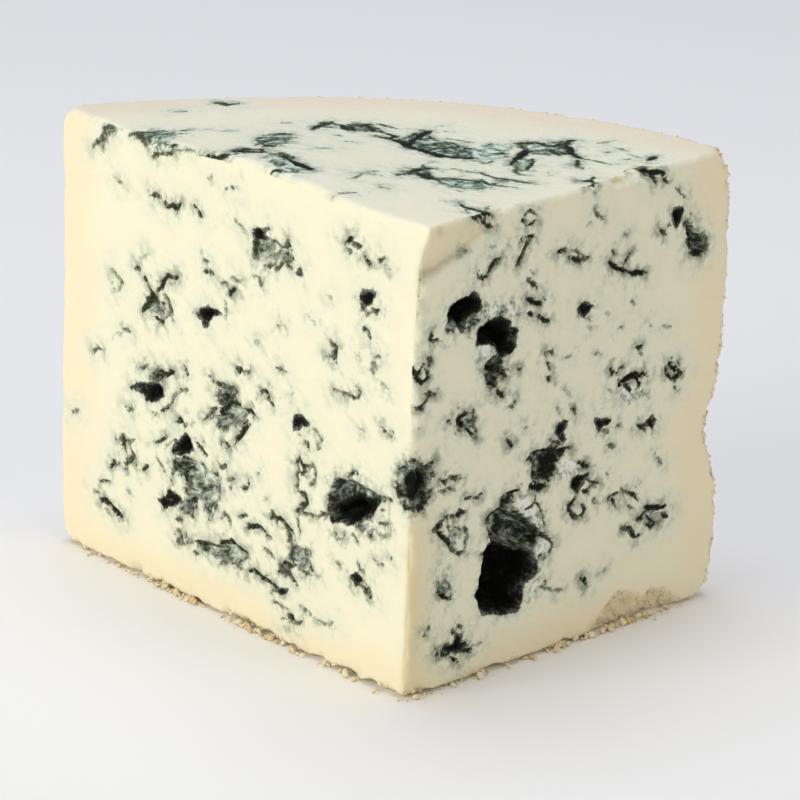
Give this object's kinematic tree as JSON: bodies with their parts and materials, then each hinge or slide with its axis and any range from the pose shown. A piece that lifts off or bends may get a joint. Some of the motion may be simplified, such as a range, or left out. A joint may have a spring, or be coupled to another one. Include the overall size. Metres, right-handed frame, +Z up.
{
  "type": "blue cheese wedge",
  "caption": "Wedge cut from a round blue-veined cheese: flat cut sides meet at an upright tip edge, with a cut top, a bowed rind rim behind and mould pockets in the cuts.",
  "frame": {"origin": "on the foot, at the middle of the box round the wedge", "axes": "+Z up, +X across the wedge, -Y towards the tip edge"},
  "size_m": [0.1216, 0.089, 0.0852],
  "materials": {
    "cheese": "cut paste, moist and matte, with blue mould and a thin pale rind"
  },
  "bodies": {
    "root": {"cheese_wedge": "cheese"}
  },
  "joints": []
}
